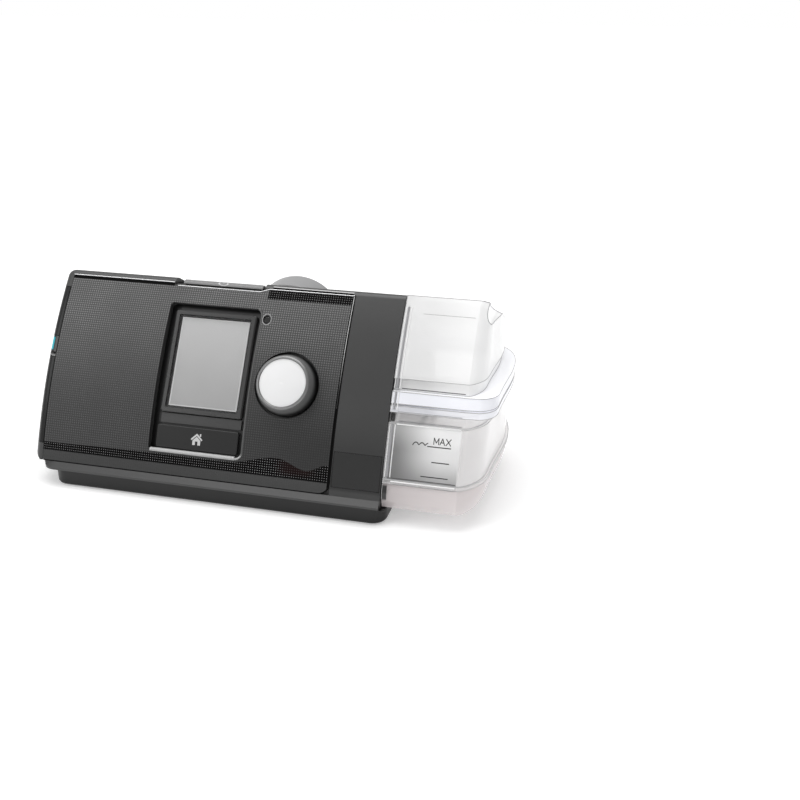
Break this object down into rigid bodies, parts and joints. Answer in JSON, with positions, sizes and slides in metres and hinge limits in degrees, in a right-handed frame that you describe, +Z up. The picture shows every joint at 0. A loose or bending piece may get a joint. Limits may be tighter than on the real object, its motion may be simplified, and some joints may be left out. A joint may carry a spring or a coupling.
{
  "type": "bedside cpap machine",
  "caption": "Bedside positive airway pressure machine with a screen, push dial and keys on a curved face and a clear water tub that slides into its right end.",
  "frame": {"origin": "on the surface the machine stands on, under the middle of its bounding box", "axes": "+X along the machine's width towards the water tub, +Y from the front to the back, +Z up; the sloping face with the screen looks towards -Y"},
  "size_m": [0.2641, 0.15, 0.1097],
  "materials": {
    "casing_grey": "dark grey, fine satin texture",
    "fascia_grey": "dark grey satin with a fine dot pattern",
    "black_plastic": "black satin",
    "base_grey": "dark grey satin",
    "screen_glass": "clear, smooth",
    "screen_grey": "even light grey display",
    "board_green": "solder resist",
    "knob_grey": "metallic rim over a dark skirt",
    "cap_white": "near white, satin",
    "light_blue": "translucent light bar",
    "white_plastic": "light grey",
    "steel": "turned or drawn",
    "plate_aluminium": "brushed",
    "clear_plastic": "clear moulded polycarbonate",
    "silicone": "soft, translucent",
    "feet_rubber": "black rubber",
    "filter_fabric": "felted fibre",
    "socket_brass": "plain"
  },
  "bodies": {
    "machine": {"upper_casing": "casing_grey", "front_fascia": "fascia_grey", "badge_plate": "fascia_grey", "display_bezel": "black_plastic", "screen_frame": "black_plastic", "screen_lens": "screen_glass", "lcd_panel": "screen_grey", "display_board": "board_green", "home_switch": "black_plastic", "home_board": "board_green", "encoder_body": "black_plastic", "light_sensor_lens": "screen_glass", "start_switch": "black_plastic", "start_board": "board_green", "side_cover_pins": "steel", "status_light": "light_blue", "main_board": "board_green", "card_socket": "steel", "memory_card": "black_plastic", "adapter_socket": "black_plastic", "power_socket": "black_plastic", "socket_contacts": "socket_brass", "clip_pin": "steel", "filter_cover_pin": "steel", "air_filter": "filter_fabric", "filter_housing": "base_grey", "outlet_surround": "white_plastic", "air_outlet": "white_plastic", "outlet_duct": "white_plastic", "blower_mount": "silicone", "blower_housing": "white_plastic", "blower_cover": "white_plastic", "motor": "steel", "blower_duct": "silicone", "humidifier_bay": "base_grey", "port_seals": "silicone", "heater_plate": "plate_aluminium", "heater_element": "silicone", "base_casing": "base_grey", "rubber_feet": "feet_rubber", "casing_screws": "steel"},
    "card_door": {"card_cover": "casing_grey"},
    "adapter_door": {"adapter_cover": "casing_grey"},
    "filter_door": {"filter_cover": "casing_grey"},
    "plug_clip": {"retaining_clip": "casing_grey"},
    "tub": {"tub_base": "clear_plastic", "tub_lid": "clear_plastic", "tub_seal": "silicone", "tub_hinge_pin": "steel", "tub_plate": "plate_aluminium"},
    "dial_rotor": {"encoder_rotor": "socket_brass"},
    "dial": {"dial_knob": "knob_grey", "dial_cap": "cap_white", "dial_shaft": "steel"},
    "home_key": {"home_button": "black_plastic"},
    "start_key": {"start_button": "casing_grey"},
    "fan": {"impeller": "white_plastic", "motor_shaft": "steel"}
  },
  "joints": [
    {"name": "tub_slide", "type": "slide", "parent": "machine", "child": "tub", "axis": [1, 0, 0], "range_m": [0, 0.09]},
    {"name": "dial_turn", "type": "hinge", "parent": "machine", "child": "dial_rotor", "pos_m": [0.01495, -0.04691, 0.0642], "axis": [0, -0.8489, 0.5286], "continuous": true},
    {"name": "dial_press", "type": "slide", "parent": "dial_rotor", "child": "dial", "axis": [0, 0.8489, -0.5286], "range_m": [0, 0.0008], "stiffness_N_per_m": 1500, "springref_m": -0.001},
    {"name": "home_press", "type": "slide", "parent": "machine", "child": "home_key", "axis": [0, 0.9097, -0.4152], "range_m": [0, 0.0006], "stiffness_N_per_m": 1500, "springref_m": -0.001},
    {"name": "start_press", "type": "slide", "parent": "machine", "child": "start_key", "axis": [0, 0, -1], "range_m": [0, 0.0007], "stiffness_N_per_m": 1500, "springref_m": -0.001},
    {"name": "card_cover_open", "type": "hinge", "parent": "machine", "child": "card_door", "pos_m": [-0.13085, 0.002, 0.0873], "axis": [0, 0, -1], "range_deg": [0, 100]},
    {"name": "adapter_cover_open", "type": "hinge", "parent": "machine", "child": "adapter_door", "pos_m": [-0.13085, -0.008, 0.0443], "axis": [0, 0, -1], "range_deg": [0, 100]},
    {"name": "filter_cover_open", "type": "hinge", "parent": "machine", "child": "filter_door", "pos_m": [-0.10855, 0.0677, 0.0363], "axis": [0, 0, 1], "range_deg": [0, 95]},
    {"name": "clip_open", "type": "hinge", "parent": "machine", "child": "plug_clip", "pos_m": [-0.05515, 0.068, 0.0157], "axis": [-1, 0, 0], "range_deg": [0, 90]},
    {"name": "fan_spin", "type": "hinge", "parent": "machine", "child": "fan", "pos_m": [-0.08735, -0.002, 0.0323], "axis": [0, 0, 1], "continuous": true}
  ]
}
